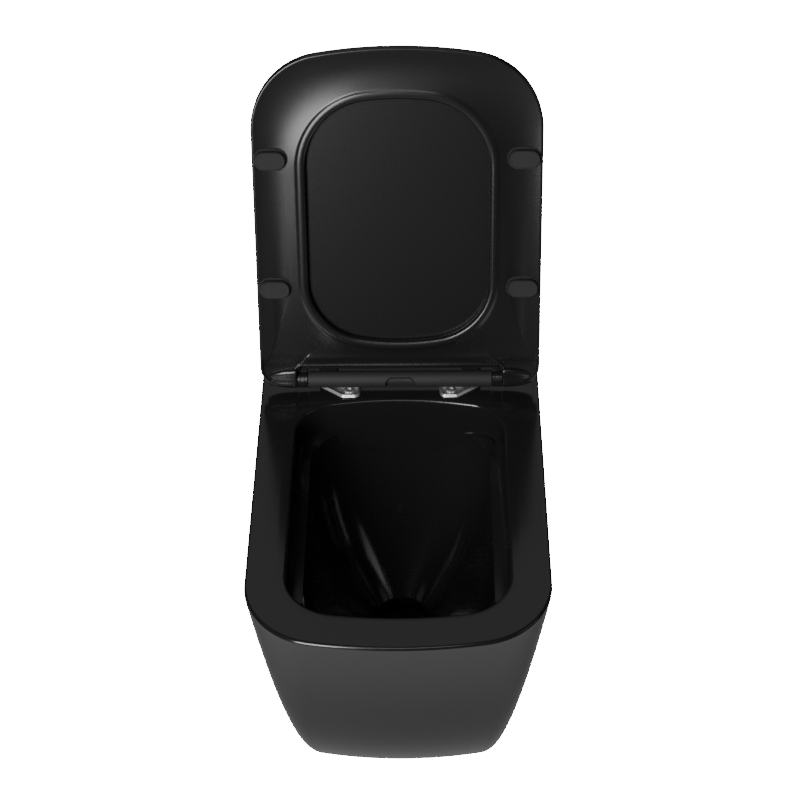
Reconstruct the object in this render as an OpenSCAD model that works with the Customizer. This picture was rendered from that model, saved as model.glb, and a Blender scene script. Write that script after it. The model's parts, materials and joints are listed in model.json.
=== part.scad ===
// Wall-hung rimless toilet pan with a slim lift-off seat and cover, in millimetres.
// X runs to the right, the front of the pan faces -Y, Z is up.
// The origin is midway between the two wall studs, on the wall's face.

/* [Pan] */
// Width of the pan at the rim
pan_w = 360; // [350:1:370]
// Distance from the wall to the front of the rim
pan_l = 585; // [583:1:600]
// Height of the pan from its underside to the rim
pan_h = 340; // [335:1:360]
// Height of the rim above the wall studs
rim_z = 80; // [78:1:84]
// Thickness of the glazed shell
shell = 13; // [11:1:15]
// Inward rake of the skirt's sides, from the rim to the underside
side_rake = 64; // [50:1:70]
// Setback of the skirt's front at the underside
front_rake = 110; // [80:1:125]

/* [Bowl] */
// Width of the opening in the rim
bowl_w = 262; // [256:1:266]
// Width of the rim at the front
rim_w = 49; // [45:1:52]
// Distance from the front of the rim to the back of the opening
opening_l = 418; // [412:1:420]
// Depth of the flush ledge below the rim
ledge_z = 45; // [40:1:50]
// Depth of the bowl's floor below the rim
bowl_h = 280; // [270:1:285]

/* [Seat and cover] */
// Width of the seat and cover
seat_w = 356.4; // [350:0.2:358]
// Length from the hinge axis to the front tip
seat_l = 432; // [428:1:436]
// Thickness of the seat ring at its edge
seat_t = 9; // [8.5:0.1:9.2]
// Thickness of the cover
lid_t = 6.8; // [6:0.1:7.5]
// Gap between the seat and the cover
lid_gap = 1.2; // [1.1:0.1:1.5]
// Height of the hinge axis above the rim
axis_h = 18; // [17.5:0.1:20]
// Angle through which the seat and cover rise from closed
open_angle = 108.2; // [95:0.1:110]

/* [Hinge bar] */
// Outside diameter of the hinge bar
bar_d = 21.5; // [21:0.1:21.8]
// Length of the hinge bar
bar_l = 235; // [234:0.5:235.4]
// Width of the release button
button_w = 37; // [32:1:40]
// Spacing of the two seat bolts
bolt_gap = 131; // [129:1:133]

/* [Wall connections] */
// Spacing of the two wall studs
stud_gap = 180; // [180]
// Radius of the stud hole inside its sleeve
stud_r = 6.5; // [6.5:0.1:7]
// Outside radius of the outlet spigot
outlet_r = 51; // [50:0.5:52]
// Inside radius of the flush inlet
inlet_r = 27.5; // [26:0.5:28]

/* [Hidden] */
$fn = 48;
eps = 0.01;
glaze = [0.07, 0.07, 0.075];
plastic = [0.06, 0.06, 0.065];
steel = [0.75, 0.75, 0.77];
rubber = [0.09, 0.09, 0.09];

front = -pan_l;
under_z = rim_z - pan_h;
axis_y = front + 440;
axis_z = rim_z + axis_h;
rim_fillet = 9;
under_fillet = 17;

// bolts, posts and the plates between them
bolt_x = bolt_gap / 2;
bolt_y = axis_y - 4.3;
post_x = bolt_x + 26.5;
post_y = axis_y + 21.4;
post_r = 4;
groove_r = 2.9;
gasket_t = 1;
plate_z = rim_z + gasket_t;
plate_t = 1.2;
plate_rim = 2.3;
hole_r = 7;
hole_depth = 40;

// along the hinge axis, measured outwards from the middle
bar_end = bar_l / 2;
ring_in = bar_end + 0.7;
ring_out = ring_in + 12.6;
cone_in = ring_out + 0.7;
cone_l = 40;
cone_r = 11;
bar_r = bar_d / 2;
damper_in = 50;
damper_r = 6.2;
spindle_r = 3.5;
pin_r = 2.45;
bush_r = 5.95;
fit = 0.05;
flat = 2.5;

// heights from the hinge axis when the seat is down
seat_under = -10.5;
seat_top = seat_under + seat_t;
lid_under = seat_top + lid_gap;
dish = 1.2;
hinge_dish = 4;
ear_back = 7.5;
ear_r = 26;
ring_clear = 19;
lid_back = 14;
buffer_x = 155;
buffer_r = [128, 295];

// latch slides below the dampers
latch_z = -8.4;
latch_t = 1.8;
latch_w = 6;
press = 3;
spring_z = -2.5;

// ---- outlines ----

// Points on the right-hand half of a pan outline, from the front centre to the rear centre.
// w: half-width, yf: front, yb: rear, rc: front corner radius, rf: radius of the front's curve,
// rr: rear corner radius, rb: radius of the rear's curve.
function half_outline(w, yf, yb, rc, rf, rr, rb, n = 5) =
    let (
        af = asin((w - rc) / (rf - rc)),
        cy = yf + rf - sqrt(pow(rf - rc, 2) - pow(w - rc, 2)),
        ab = asin((w - rr) / (rb - rr)),
        dy = yb - rb + sqrt(pow(rb - rr, 2) - pow(w - rr, 2)),
        side = dy - cy
    )
    concat(
        [for (i = [0:2]) let (a = af * i / 3) [rf * sin(a), yf + rf - rf * cos(a)]],
        [for (i = [0:n]) let (a = af + (90 - af) * i / n) [w - rc + rc * sin(a), cy - rc * cos(a)]],
        [for (i = [1:2]) [w, cy + side * i / 3]],
        [for (i = [0:n]) let (a = 90 - (90 - ab) * i / n) [w - rr + rr * sin(a), dy + rr * cos(a)]],
        [for (i = [2:-1:0]) let (a = ab * i / 3) [rb * sin(a), yb - rb + rb * cos(a)]]
    );

// The whole outline, anticlockwise from above, starting at the front centre.
function outline(w, yf, yb, rc, rf, rr, rb, n = 5) =
    let (h = half_outline(w, yf, yb, rc, rf, rr, rb, n), m = len(h))
    concat(h, [for (i = [m - 2:-1:1]) [-h[i][0], h[i][1]]]);

function at_height(points, z) = [for (p = points) [p[0], p[1], z]];

// A closed solid through rings of equal length, from the first ring to the last.
module ring_solid(rings) {
    n = len(rings[0]);
    m = len(rings);
    polyhedron(
        points = [for (r = rings) each r],
        faces = concat(
            [[for (i = [0:n - 1]) i]],
            [
                for (k = [0:m - 2], i = [0:n - 1], t = [0, 1])
                let (j = (i + 1) % n, a = k * n, b = a + n)
                t == 0 ? [a + i, b + i, b + j] : [a + i, b + j, a + j]
            ],
            [[for (i = [n - 1:-1:0]) (m - 1) * n + i]]
        ),
        convexity = 8
    );
}

// ---- pan ----

// One level of the skirt: u is 0 at the rim and 1 at the underside, t an inward offset of the wall.
function skirt(u, t, back) =
    outline(
        pan_w / 2 - side_rake * (1 - pow(1 - u, 1.35)) - t,
        front + front_rake * pow(u, 2.5) + t,
        back,
        20 + 75.7 * pow(1 - u, 2.2) - t * 0.5,
        606 - 73 * u - t,
        3,
        9000
    );

// One level of the bowl's inside: v is 0 at the ledge and 1 at the floor.
function bowl(v, t) =
    let (s = 1 - pow(v, 2.2), hw = 34 + (bowl_w / 2 - 51) * s, mid = front + 291, hf = 34)
    outline(
        hw + t,
        mid - hf - (291 - rim_w - 14 - hf) * s - t,
        mid + hf + (opening_l - 291 - 8 - hf) * s + t,
        hw * 0.62 + t,
        hw * (1.35 + 2.6 * s) + t,
        hw * 0.5 + t,
        hw * (1.35 + 2.6 * s) + t
    );

// The opening in the rim, grown by t.
function opening(t) =
    outline(bowl_w / 2 + t, front + rim_w - t, front + opening_l + t, 62 + t, 560, 50 + t, 470);

skirt_levels = [0.93, 0.84, 0.72, 0.58, 0.44, 0.3, 0.18, 0.08];
bowl_levels = [0, 0.2, 0.4, 0.6, 0.78, 0.92, 1];
ledge_h = rim_z - ledge_z;
floor_z = rim_z - bowl_h;
function bowl_z(v) = ledge_h - (ledge_h - floor_z) * v;

module pan_outside() {
    ring_solid(concat(
        [
            for (a = [0, 30, 60])
            let (rise = under_fillet * (1 - cos(a)))
            at_height(skirt(1 - rise / pan_h, under_fillet * (1 - sin(a)), 0), under_z + rise)
        ],
        [for (u = skirt_levels) at_height(skirt(u, 0, 0), rim_z - pan_h * u)],
        [
            for (a = [0, 30, 60, 90])
            at_height(skirt(0, rim_fillet * (1 - cos(a)), 0), rim_z - rim_fillet * (1 - sin(a)))
        ]
    ));
}

module pan_hollow() {
    top_u = (shell + 1) / pan_h;
    ring_solid(concat(
        [at_height(skirt(0.93, shell + 6, shell * 2), under_z + shell)],
        [
            for (u = [0.9, 0.72, 0.5, 0.3, 0.14, top_u])
            at_height(skirt(u, shell, shell * 2), rim_z - pan_h * u)
        ]
    ));
}

module bowl_shell() {
    t = 11;
    ring_solid(concat(
        [for (i = [len(bowl_levels) - 1:-1:0]) let (v = bowl_levels[i]) at_height(bowl(v, t), bowl_z(v) - t)],
        [at_height(opening(t + 1), ledge_h - t + 2), at_height(opening(t + 1), rim_z - 2)]
    ));
}

module bowl_inside() {
    ring_solid(concat(
        [for (i = [len(bowl_levels) - 1:-1:0]) let (v = bowl_levels[i]) at_height(bowl(v, 0), bowl_z(v))],
        [
            at_height(opening(-2), ledge_h + 4),
            at_height(opening(0), ledge_h + 12),
            at_height(opening(0), rim_z - 4),
            at_height(opening(1), rim_z - 1.2),
            at_height(opening(4), rim_z + 1)
        ]
    ));
}

// A rod of radius r between two points in the plane x = 0, given as [y, z].
module rod_yz(a, b, r) {
    d = b - a;
    translate([0, a[0], a[1]])
        rotate([atan2(d[1], d[0]) - 90, 0, 0])
            cylinder(h = norm(d), r = r);
}

// A box across the middle: low holds the half-width and the lowest y and z, high the highest y and z.
module box_yz(low, high) {
    translate([-low[0], low[1], low[2]]) cube([2 * low[0], high[0] - low[1], high[1] - low[2]]);
}

// flush chamber behind the shield
chamber_w = 92;
chamber_wall = 12;
chamber_z = -2;
chamber_front = -143;
chamber_back = -123;

trap_r = 26;
// the trapway's centre line as [y, z]: from the bowl's sump, down, up over the weir and back
trap_from = [front + 285, floor_z + 24];
trap_pull = [front + 425, floor_z - 22];
trap_lift = [-205, -72];
trap_to = [-118, -96];
outlet_z = -100;
inlet_z = 35;
stud_y = -60;
spigot_l = 50;

function bezier(t) =
    pow(1 - t, 3) * trap_from + 3 * t * pow(1 - t, 2) * trap_pull
    + 3 * t * t * (1 - t) * trap_lift + pow(t, 3) * trap_to;

// The trapway as a tube of radius trap_r + grow along its centre line.
module trapway(grow) {
    steps = 9;
    sides = 20;
    ring_solid([
        for (k = [0:steps])
        let (
            p = bezier(k / steps),
            d = bezier(min(1, k / steps + 0.02)) - bezier(max(0, k / steps - 0.02)),
            n = [d[1], -d[0]] / norm(d)
        )
        [
            for (i = [0:sides - 1])
            let (a = 360 * (i + 0.5) / sides, r = trap_r + grow)
            [r * cos(a), p[0] + n[0] * r * sin(a), p[1] + n[1] * r * sin(a)]
        ]
    ]);
}

module pan() {
    color(glaze)
    difference() {
        union() {
            difference() {
                pan_outside();
                pan_hollow();
            }
            bowl_shell();
            trapway(8);
            // outlet spigot, flush inlet and the web that carries the wall studs
            rod_yz([trap_to[0] - 14, outlet_z], [0, outlet_z], outlet_r - 2);
            rod_yz([-spigot_l, outlet_z], [0, outlet_z], outlet_r);
            rod_yz([-125, inlet_z], [0, inlet_z], inlet_r + 9);
            box_yz([148, -22, -30], [-8, 70]);
            for (s = [-1, 1]) {
                translate([s * stud_gap / 2, 0, 0]) rotate([90, 0, 0]) cylinder(h = -stud_y, r = 21);
                translate([s * bolt_x, bolt_y, rim_z - hole_depth - 10]) cylinder(h = hole_depth + 9, r = 16);
            }
            box_yz([chamber_w / 2 + chamber_wall, front + opening_l - 12, chamber_z - chamber_wall],
                [chamber_back + 9, rim_z - 1]);
        }
        bowl_inside();
        trapway(0);
        rod_yz([trap_to[0] - 2, outlet_z], [1, outlet_z], outlet_r - 9);
        rod_yz([-130, inlet_z], [1, inlet_z], inlet_r);
        box_yz([chamber_w / 2, chamber_front, chamber_z], [chamber_back, rim_z - 14]);
        box_yz([chamber_w / 2, front + opening_l - 18, chamber_z], [chamber_back, chamber_z + 22]);
        for (s = [-1, 1]) {
            translate([s * stud_gap / 2, 1, 0]) rotate([90, 0, 0]) cylinder(h = 2 - stud_y, r = 10);
            translate([s * bolt_x, bolt_y, rim_z - hole_depth]) cylinder(h = hole_depth + 1, r = hole_r);
        }
    }
}

module wall_sleeves() {
    color(plastic)
    for (s = [-1, 1])
        translate([s * stud_gap / 2, 0, 0]) rotate([90, 0, 0]) difference() {
            union() {
                cylinder(h = -stud_y, r = 9.9);
                translate([0, 0, -stud_y + 0.1]) cylinder(h = 2, r = 15);
                translate([0, 0, -stud_y - eps]) cylinder(h = 0.2, r = 9.9);
            }
            translate([0, 0, -1]) cylinder(h = 4 - stud_y, r = stud_r);
        }
}

// ---- seat and cover, drawn closed about the hinge axis and then raised ----

module raised() {
    translate([0, axis_y, axis_z]) rotate([-open_angle, 0, 0]) children();
}

module along_axis(x0, x1, r) {
    translate([x0, 0, 0]) rotate([0, 90, 0]) cylinder(h = x1 - x0, r = r);
}

module both_sides() {
    for (s = [0, 1]) mirror([s, 0, 0]) children();
}

module plate_outline(t, back, rear_r) {
    polygon(outline(seat_w / 2 - t, -seat_l + t, back, 95 - t, 619 - t, rear_r, 9000, 10));
}

// The seat's opening, grown by t.
module seat_opening(t) {
    polygon(outline(113 + t, -369 - t, -56 + t, 84 + t, 330 + t, 76 + t, 300 + t, 10));
}

module oblong(l, w) {
    both_sides() translate([(l - w) / 2, 0]) circle(d = w);
    square([l - w, w], center = true);
}

module at_buffers() {
    for (r = buffer_r) both_sides() translate([buffer_x, -r, 0]) children();
}

// Bullet-shaped knuckle on the right-hand side, with a fairing that runs into the seat's underside.
module cone() {
    steps = 9;
    sides = 18;
    ring_solid([
        for (i = [0:steps])
        let (
            a = 84 * i / steps,
            k = cos(a),
            r = cone_r * k,
            reach = (ring_clear - 2) * k + 1,
            x = cone_in + cone_l * sin(a)
        )
        concat(
            [for (j = [0:sides]) let (b = -115 + 260 * j / sides) [x, r * cos(b), r * sin(b)]],
            [[x, -reach, -r * 0.72], [x, -reach * 0.97, -r * 0.84]]
        )
    ]);
}

module seat() {
    color(plastic) raised() difference() {
        union() {
            difference() {
                translate([0, 0, seat_under]) linear_extrude(seat_t) difference() {
                    plate_outline(0, ear_back, ear_r);
                    seat_opening(0);
                    translate([-cone_in + 0.3, -ring_clear]) square([2 * cone_in - 0.6, 40]);
                }
                // shallow dish on the underside, between the edge and the lip
                translate([0, 0, seat_under - 1]) linear_extrude(dish + 1) difference() {
                    plate_outline(6, -22, 30);
                    seat_opening(12.5);
                    at_buffers() oblong(43, 29.5);
                }
                // deeper hollow round the knuckles
                translate([0, 0, seat_under - 1]) linear_extrude(hinge_dish + 1) intersection() {
                    plate_outline(4, ear_back - 3, ear_r - 3);
                    translate([-seat_w / 2, -ring_clear - 9]) square([seat_w, 60]);
                }
            }
            translate([0, 0, seat_under - 1]) linear_extrude(1 + eps) difference() {
                seat_opening(10);
                seat_opening(2.5);
            }
            both_sides() cone();
        }
        both_sides() along_axis(cone_in - 1, cone_in + 20, 6);
    }
}

// A bore of the spindle's double-D shape, or a rod of it.
module double_d(x0, x1, r, f) {
    intersection() {
        along_axis(x0, x1, r);
        translate([x0 - 1, -f, -r - 1]) cube([x1 - x0 + 2, 2 * f, 2 * r + 2]);
    }
}

module seat_bushes() {
    color(steel) raised() {
        mirror([1, 0, 0]) difference() {
            along_axis(cone_in + 0.2, cone_in + 19.6, bush_r);
            double_d(cone_in - 1, cone_in + 16.6, spindle_r + fit, flat + fit);
        }
        difference() {
            along_axis(cone_in + 0.2, cone_in + 19.6, bush_r);
            along_axis(cone_in - 1, cone_in + 16.6, pin_r + fit);
        }
    }
}

module seat_buffers() {
    base = 1.6;
    color(rubber) raised() at_buffers() {
        translate([0, 0, seat_under - base]) linear_extrude(base) oblong(41, 27.5);
        translate([0, 0, -axis_h + 0.3])
            linear_extrude(axis_h - 0.3 + seat_under - base + eps) oblong(37.5, 22);
    }
}

module lid() {
    color(plastic) raised() difference() {
        union() {
            translate([0, 0, lid_under]) linear_extrude(lid_t) plate_outline(0, -lid_back, 8);
            both_sides() {
                along_axis(ring_in, ring_out, 10.5);
                translate([ring_in, -lid_back - 4, lid_under])
                    cube([ring_out - ring_in, lid_back + 4, lid_t]);
            }
        }
        both_sides() along_axis(ring_in - 1, ring_out + 1, 6);
    }
}

module lid_bushes() {
    color(steel) raised() {
        mirror([1, 0, 0]) difference() {
            along_axis(ring_in, ring_out, bush_r);
            along_axis(ring_in - 1, ring_out + 1, spindle_r + fit);
        }
        difference() {
            along_axis(ring_in, ring_out, bush_r);
            double_d(ring_in - 1, ring_out + 1, spindle_r + fit, flat + fit);
        }
    }
}

module lid_buffers() {
    color(rubber) raised() both_sides()
        for (p = [[152, 60], [140, 388]])
            translate([p[0], -p[1], lid_under - 0.9]) cylinder(h = 0.9, r = 7);
}

// ---- hinge bar, which drops over the two locating posts ----

module at_axis() {
    translate([0, axis_y, axis_z]) children();
}

foot_w = 24;
foot_low = plate_z + plate_t + plate_rim + 0.3 - axis_z;
foot_top = 2.5;
back_y = post_y - axis_y;

// Space swept by a latch slide with clearance, on the right-hand side.
module latch_room() {
    g = 0.2;
    translate([0, -latch_w / 2 - g, latch_z - g]) cube([post_x + 16, latch_w + 2 * g, latch_t + 2 * g + 0.2]);
    translate([post_x - 14, 0, latch_z - g]) cube([30, back_y + 9, latch_t + 2 * g]);
}

// The button's outline seen from the front, grown by g, as a block between two depths.
module key_block(g, y0, y1, low) {
    half = button_w / 2 + g;
    translate([0, y1, 0]) rotate([90, 0, 0]) linear_extrude(y1 - y0) polygon([
        [-half, low], [half, low], [half, 3], [half - 2.6, 6.4 + g], [half - 6, 8 + g],
        [6 - half, 8 + g], [2.6 - half, 6.4 + g], [-half, 3]
    ]);
}

module hinge_bar() {
    color(plastic) at_axis() difference() {
        union() {
            along_axis(-bar_end, bar_end, bar_r);
            both_sides() translate([post_x - foot_w / 2, 5, foot_low])
                cube([foot_w, back_y + 6, foot_top - foot_low]);
        }
        both_sides() {
            along_axis(damper_in - 0.5, bar_end + 1, damper_r + fit);
            latch_room();
            translate([post_x, back_y, foot_low - 1])
                cylinder(h = foot_top - foot_low - 0.2, r = post_r + fit);
        }
        // pocket for the button, its wedge nose and its spring
        key_block(0.2, -bar_r - 1, 1, latch_z - 0.2);
        translate([0, 0, spring_z]) rotate([-90, 0, 0]) cylinder(h = 7, r = 3.4);
        translate([-12, -4, latch_z - 0.2]) cube([24, 8, 3.2]);
    }
}

module damper() {
    along_axis(damper_in, bar_end - 0.2, damper_r);
}

module seat_damper() {
    color(steel) at_axis() mirror([1, 0, 0]) difference() {
        damper();
        along_axis(damper_in + 8, bar_end + 1, spindle_r + fit);
    }
}

module lid_damper() {
    color(steel) at_axis() difference() {
        damper();
        along_axis(damper_in + 8, bar_end + 1, spindle_r + fit);
    }
}

module seat_spindle() {
    color(steel) raised() mirror([1, 0, 0]) {
        along_axis(damper_in + 9, cone_in + 0.1, spindle_r);
        double_d(cone_in, cone_in + 16, spindle_r, flat);
    }
}

module lid_spindle() {
    color(steel) raised() {
        along_axis(damper_in + 9, bar_end + 0.2, spindle_r);
        double_d(bar_end, ring_out, spindle_r, flat);
        along_axis(ring_out - eps, cone_in + 16, pin_r);
    }
}

// ---- release button, its spring and the two latch slides ----

module release_button() {
    half = button_w / 2;
    color(plastic) at_axis() difference() {
        union() {
            intersection() {
                key_block(0, -bar_r - 1, -3.4, -6.2);
                along_axis(-half, half, bar_r + 0.2);
            }
            // wedge nose that spreads the slides
            translate([0, 0, latch_z]) linear_extrude(latch_t + 1)
                polygon([[-9, -4.5], [9, -4.5], [4.5, 0], [-4.5, 0]]);
        }
        translate([0, -4.6, spring_z]) rotate([-90, 0, 0]) cylinder(h = 3, r = 2.9);
    }
}

module button_spring() {
    turns = 5;
    seg = 14;
    wire = 0.35;
    r = 2.4;
    y0 = -4.2;
    y1 = 6.6;
    steps = turns * seg;
    color(steel) at_axis() ring_solid([
        for (k = [0:steps])
        let (a = 360 * k / seg, y = y0 + (y1 - y0) * k / steps)
        [
            for (i = [0:5])
            let (b = -60 * i, q = r + wire * cos(b)) [q * cos(a), y + wire * sin(b), spring_z + q * sin(a)]
        ]
    ]);
}

module latch() {
    at_axis() translate([0, 0, latch_z]) linear_extrude(latch_t) difference() {
        polygon([
            [8, -latch_w / 2], [post_x + 9, -latch_w / 2], [post_x + 9, back_y + 7],
            [post_x - 9, back_y + 7], [post_x - 9, latch_w / 2], [2, latch_w / 2]
        ]);
        translate([post_x - press, back_y]) circle(r = post_r + 0.3);
        translate([post_x - press, back_y - groove_r - 0.2]) square([press, 2 * groove_r + 0.4]);
        translate([post_x, back_y]) circle(r = groove_r + 0.2);
    }
}

module latch_right() {
    color(steel) latch();
}

module latch_left() {
    color(steel) mirror([1, 0, 0]) latch();
}

// ---- base plates and their fixings ----

// Corners of a base plate's outline, as [x, y, radius] from the hinge axis.
plate_corners = [
    [bolt_x + 6, -9.7, 8], [bolt_x - 6.5, -9.7, 8], [bolt_x - 4.5, 0.5, 11], [post_x + 4, 8.5, 8],
    [post_x, post_y - axis_y, 8]
];

module teardrop(grow) {
    hull() for (c = plate_corners) translate([c[0], axis_y + c[1]]) circle(r = c[2] + grow);
}

module plate() {
    difference() {
        hull() {
            translate([0, 0, plate_z]) linear_extrude(1) teardrop(0);
            translate([0, 0, plate_z + plate_t + plate_rim - eps]) linear_extrude(eps) teardrop(-2.2);
        }
        translate([0, 0, plate_z + plate_t]) linear_extrude(plate_rim + 1) teardrop(-3.4);
        translate([bolt_x, bolt_y, plate_z - 1]) cylinder(h = plate_t + 2, r = 3 + fit);
        translate([post_x, post_y, plate_z - 1]) cylinder(h = plate_t + 2, r = 2.5);
    }
}

module plate_right() {
    color(steel) plate();
}

module plate_left() {
    color(steel) mirror([1, 0, 0]) plate();
}

module plate_gaskets() {
    color(rubber) both_sides() difference() {
        translate([0, 0, rim_z]) linear_extrude(gasket_t) teardrop(-0.6);
        translate([bolt_x, bolt_y, rim_z - 1]) cylinder(h = gasket_t + 2, r = 3.4);
    }
}

module locating_posts() {
    low = plate_z + plate_t;
    groove_z = axis_z + latch_z - 0.3;
    color(steel) both_sides() translate([post_x, post_y, 0]) {
        translate([0, 0, plate_z + 0.1]) cylinder(h = 3, r = 2.45);
        translate([0, 0, low]) cylinder(h = groove_z - low, r = post_r);
        translate([0, 0, groove_z - eps]) cylinder(h = latch_t + 0.6 + 2 * eps, r = groove_r);
        translate([0, 0, groove_z + latch_t + 0.6]) cylinder(h = 5.6, r = post_r);
        translate([0, 0, groove_z + latch_t + 6.2 - eps]) cylinder(h = 1.6, r1 = post_r, r2 = 2.6);
    }
}

module bolt() {
    low = plate_z + plate_t;
    head = 2.6;
    head_r = 7;
    translate([bolt_x, bolt_y, 0]) difference() {
        union() {
            translate([0, 0, low]) cylinder(h = head - 0.9, r = head_r);
            translate([0, 0, low + head - 0.9]) cylinder(h = 0.9, r1 = head_r, r2 = head_r - 1.3);
            translate([0, 0, rim_z - hole_depth + 1]) cylinder(h = low - rim_z + hole_depth, r = 3);
        }
        translate([0, 0, low + head - 2]) cylinder(h = 3, r = 2.9, $fn = 6);
    }
}

module bolt_right() {
    color(steel) bolt();
}

module bolt_left() {
    color(steel) mirror([1, 0, 0]) bolt();
}

nut_h = 7;

module clamp_nuts() {
    color(steel) both_sides() translate([bolt_x, bolt_y, rim_z - hole_depth + 2]) difference() {
        cylinder(h = nut_h, r1 = 6.2, r2 = 4.8);
        translate([0, 0, -1]) cylinder(h = nut_h + 2, r = 3 + fit);
    }
}

module rubber_plugs() {
    low = rim_z - hole_depth + 2 + nut_h;
    color(rubber) both_sides() translate([bolt_x, bolt_y, 0]) difference() {
        translate([0, 0, low]) cylinder(h = rim_z - low, r = hole_r - 0.1);
        translate([0, 0, low - 1]) cylinder(h = rim_z - low + 2, r = 3.3);
    }
}

pan();
wall_sleeves();
seat();
seat_bushes();
seat_buffers();
lid();
lid_bushes();
lid_buffers();
hinge_bar();
seat_damper();
seat_spindle();
lid_damper();
lid_spindle();
release_button();
button_spring();
latch_left();
latch_right();
plate_left();
plate_right();
plate_gaskets();
locating_posts();
bolt_left();
bolt_right();
clamp_nuts();
rubber_plugs();
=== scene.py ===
"""Wall-hung toilet pan with a slim seat and cover: its shapes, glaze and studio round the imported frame."""

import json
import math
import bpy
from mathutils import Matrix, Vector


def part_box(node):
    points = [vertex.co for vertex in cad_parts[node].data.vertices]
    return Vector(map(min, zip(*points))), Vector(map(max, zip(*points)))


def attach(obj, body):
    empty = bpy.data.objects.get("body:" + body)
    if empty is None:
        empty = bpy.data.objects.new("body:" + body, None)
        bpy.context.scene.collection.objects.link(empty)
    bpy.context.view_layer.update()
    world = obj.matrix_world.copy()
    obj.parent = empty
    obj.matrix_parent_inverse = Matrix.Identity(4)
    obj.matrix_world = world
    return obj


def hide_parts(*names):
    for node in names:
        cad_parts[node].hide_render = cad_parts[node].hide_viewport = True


bl_info = {
    "name": "Wall-hung toilet pan",
    "version": (1, 0, 0),
    "blender": (4, 5, 0),
    "location": "View3D > Sidebar > Pan",
    "description": "Builds a rimless pan with a slim lift-off seat, cover and hinge bar in a pale studio",
    "category": "Object",
}

import bpy
import numpy as np
from mathutils import Matrix, Vector

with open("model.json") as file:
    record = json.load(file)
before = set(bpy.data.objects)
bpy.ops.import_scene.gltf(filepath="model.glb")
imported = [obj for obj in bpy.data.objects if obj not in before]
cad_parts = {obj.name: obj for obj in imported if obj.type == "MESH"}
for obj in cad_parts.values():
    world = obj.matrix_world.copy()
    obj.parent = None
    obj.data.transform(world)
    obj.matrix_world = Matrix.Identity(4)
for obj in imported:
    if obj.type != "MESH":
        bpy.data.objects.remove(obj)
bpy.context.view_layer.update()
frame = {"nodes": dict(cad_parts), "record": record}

MM = 0.001
TAU = 2 * np.pi
WHITE = 40.0  # glow that the camera sees as pure white
FAR_GLOW = 0.006  # glow of the air and the far floor in reflections
BAR_GAP = 0.1345  # half-width of the gap that the seat leaves for the hinge bar
PAN_LOW, PAN_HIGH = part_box("pan")
RIM = PAN_HIGH[2]
UNDER = PAN_LOW[2]
FRONT = PAN_LOW[1]
HINGE = next(j for j in frame["record"]["behaviour"]["joints"] if j["name"] == "cover_hinge")
AXIS = np.array(HINGE["pos_m"])
OPEN = math.radians(-HINGE["range_deg"][0])
SPIGOT = next(m for m in frame["record"]["mounts"] if m["name"] == "outlet_spigot")
INLET = next(m for m in frame["record"]["mounts"] if m["name"] == "flush_inlet")
STUDS = next(m for m in frame["record"]["mounts"] if m["name"] == "wall_fixings")


# ---- sizes and colours


def length(name, what, value):
    return bpy.props.FloatProperty(
        name=name, description=what, default=value, unit="LENGTH", subtype="DISTANCE"
    )


def factor(name, what, value, high=1.0):
    return bpy.props.FloatProperty(name=name, description=what, default=value, min=0.0, max=high)


def angle(name, what, value):
    return bpy.props.FloatProperty(name=name, description=what, default=value)


def colour(name, what, value):
    return bpy.props.FloatVectorProperty(
        name=name, description=what, default=value, subtype="COLOR", size=3, min=0.0, max=1.0
    )


class PanSizes(bpy.types.PropertyGroup):
    side_rake: length("Side rake", "How far the skirt's sides draw in at the underside", 0.064)
    front_rake: length("Front rake", "How far the skirt's front draws back at the underside", 0.110)
    rim_fillet: length("Rim fillet", "Rounding of the rim's outer edge", 0.0042)
    under_fillet: length("Lower fillet", "Rounding of the skirt's lower edge", 0.017)
    bowl_width: length("Bowl width", "Width of the opening in the rim", 0.262)
    rim_width: length("Rim width", "Width of the rim at the front", 0.049)
    opening_length: length("Opening length", "Distance of the opening's back from the pan's front", 0.418)
    ledge_depth: length("Ledge depth", "Depth of the flush ledge below the rim", 0.045)
    ledge_width: length("Ledge width", "Width of the flush ledge", 0.017)
    wall: length("Wall", "Thickness of the glazed wall", 0.012)


class SeatSizes(bpy.types.PropertyGroup):
    width: length("Width", "Width of the seat and cover", 0.3564)
    reach: length("Length", "Length from the hinge axis to the tip", 0.432)
    under: length("Underside", "Height of the seat's lower edge below the axis when closed", 0.0105)
    thickness: length("Thickness", "Thickness of the seat ring at its edge", 0.009)
    dish: length("Dish", "Depth of the hollow on the seat's underside", 0.0024)
    lip: length("Lip", "Width of the bead round the opening", 0.0115)
    cover_gap: length("Gap", "Gap between seat and cover", 0.0012)
    cover_thickness: length("Cover", "Thickness of the cover", 0.0068)


class FinishColours(bpy.types.PropertyGroup):
    glaze: colour("Glaze", "Satin black glaze of the pan", (0.0014, 0.0014, 0.0015))
    thermoset: colour("Seat", "Black moulded seat and cover", (0.0010, 0.0010, 0.0011))
    plastic: colour("Hinge", "Black plastic of the hinge bar", (0.0030, 0.0030, 0.0032))
    rubber: colour("Rubber", "Soft black rubber", (0.0070, 0.0070, 0.0072))
    stainless: colour("Stainless", "Bright stainless steel", (0.62, 0.61, 0.59))
    white_plastic: colour("White plastic", "Natural plastic bushes", (0.72, 0.72, 0.69))
    brass: colour("Brass", "Plain brass", (0.55, 0.38, 0.14))
    casing: colour("Casing", "Grey damper casing", (0.16, 0.16, 0.17))
    floor: colour("Floor", "Grey studio floor, which glows white to the camera", (0.20, 0.20, 0.20))


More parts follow.
